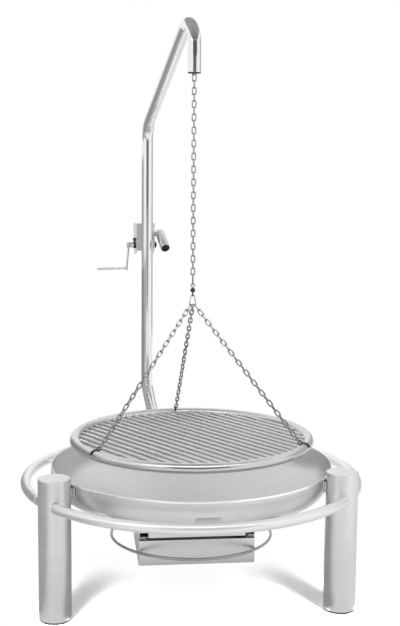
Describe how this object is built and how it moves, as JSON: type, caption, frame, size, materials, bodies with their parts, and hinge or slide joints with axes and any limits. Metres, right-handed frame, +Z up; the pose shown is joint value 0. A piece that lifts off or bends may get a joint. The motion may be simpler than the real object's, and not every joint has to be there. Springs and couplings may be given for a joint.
{
  "type": "swing grill",
  "caption": "Stainless steel fire bowl on round legs with a tube ring, an ash box below, and a swinging gallows whose crank winch lifts a round grate on chains.",
  "frame": {"origin": "on the floor, in the middle of the part's bounding box", "axes": "+Z up; the ash box draws out to the front along -Y and the gallows stands at the back, on +Y"},
  "size_m": [0.9848, 1.0722, 1.642],
  "materials": {
    "satin_steel": "satin ground stainless steel",
    "bright_steel": "polished stainless tube",
    "chain_steel": "bright chain wire",
    "dark_steel": "dark steel",
    "black_plastic": "black moulded plastic",
    "bearing_plastic": "natural acetal"
  },
  "bodies": {
    "frame": {"leg_rear": "satin_steel", "leg_front_left": "satin_steel", "leg_front_right": "satin_steel", "leg_cap_rear": "satin_steel", "leg_cap_front_left": "satin_steel", "leg_cap_front_right": "satin_steel", "foot_glide_rear": "black_plastic", "foot_glide_front_left": "black_plastic", "foot_glide_front_right": "black_plastic", "bowl_lug_rear": "satin_steel", "bowl_lug_front_left": "satin_steel", "bowl_lug_front_right": "satin_steel", "ring_tube_left": "satin_steel", "ring_tube_front": "satin_steel", "ring_tube_right": "satin_steel", "bowl_shelf_left": "satin_steel", "bowl_shelf_front": "satin_steel", "bowl_shelf_right": "satin_steel", "fire_bowl": "satin_steel", "ash_sieve": "dark_steel", "ash_hood": "satin_steel", "gallows_socket": "satin_steel", "socket_bush_upper": "bearing_plastic", "socket_bush_lower": "bearing_plastic", "socket_bracket_lower": "satin_steel", "socket_bracket_upper": "satin_steel"},
    "ash_drawer": {"ash_box": "satin_steel", "ash_ring": "bright_steel"},
    "gallows": {"gallows_tube": "bright_steel", "winch_rope": "dark_steel", "mouth_guide": "black_plastic", "winch_bracket": "satin_steel", "bracket_screw_left": "bright_steel", "bracket_screw_right": "bright_steel", "pawl_pin": "bright_steel", "swing_handle": "bright_steel", "swing_handle_plug": "black_plastic"},
    "winch": {"winch_shaft": "bright_steel", "winch_drum": "satin_steel", "ratchet_wheel": "dark_steel", "crank_arm": "bright_steel", "crank_handle": "bright_steel", "shaft_nut": "dark_steel"},
    "pawl": {"ratchet_pawl": "dark_steel"},
    "chain_top": {"chain_top_link": "chain_steel"},
    "hang": {"lift_chain_upper": "chain_steel"},
    "hoist": {"lift_chain_lower": "chain_steel", "swivel_stem": "chain_steel"},
    "grate": {"swivel_body": "dark_steel", "snap_hook": "bright_steel", "grate_chain_1": "chain_steel", "grate_chain_2": "chain_steel", "grate_chain_3": "chain_steel", "ring_hook_1": "dark_steel", "ring_hook_2": "dark_steel", "ring_hook_3": "dark_steel", "grate_ring": "bright_steel", "grate_bars": "satin_steel"},
    "hook_gate": {"snap_gate": "bright_steel"}
  },
  "joints": [
    {"name": "ash_box_slide", "type": "slide", "parent": "frame", "child": "ash_drawer", "axis": [0, -1, 0], "range_m": [0, 0.25]},
    {"name": "gallows_swing", "type": "hinge", "parent": "frame", "child": "gallows", "pos_m": [-0.066, 0.47159, 0.205], "axis": [0, 0, 1], "continuous": true},
    {"name": "crank_turn", "type": "hinge", "parent": "gallows", "child": "winch", "pos_m": [-0.10443, 0.5079, 0.963], "axis": [0.9826, 0.1858, 0], "range_deg": [0, 1500]},
    {"name": "pawl_lift", "type": "hinge", "parent": "gallows", "child": "pawl", "pos_m": [-0.10443, 0.5079, 0.983], "axis": [0.9826, 0.1858, 0], "range_deg": [0, 25], "stiffness_Nm_per_rad": 0.02, "springref_deg": -11.46},
    {"name": "chain_sway_side", "type": "hinge", "parent": "gallows", "child": "chain_top", "pos_m": [0, -0.04441, 1.5133], "axis": [0, 1, 0], "range_deg": [-4, 4]},
    {"name": "chain_sway_fore", "type": "hinge", "parent": "chain_top", "child": "hang", "pos_m": [0, -0.04441, 1.4955], "axis": [1, 0, 0], "range_deg": [-4, 4]},
    {"name": "grate_lift", "type": "slide", "parent": "hang", "child": "hoist", "axis": [0, 0, 1], "range_m": [0, 0.4], "deforming": ["lift_chain_upper"]},
    {"name": "grate_spin", "type": "hinge", "parent": "hoist", "child": "grate", "pos_m": [0, -0.04441, 0.8731], "axis": [0, 0, 1], "continuous": true},
    {"name": "hook_gate_open", "type": "hinge", "parent": "grate", "child": "hook_gate", "pos_m": [-0.0065, -0.04441, 0.83617], "axis": [0, 1, 0], "range_deg": [0, 20], "stiffness_Nm_per_rad": 0.01, "springref_deg": -11.46}
  ],
  "couplings": [
    {"joint": "crank_turn", "follows": "grate_lift", "rad_per_m": 65.36}
  ]
}
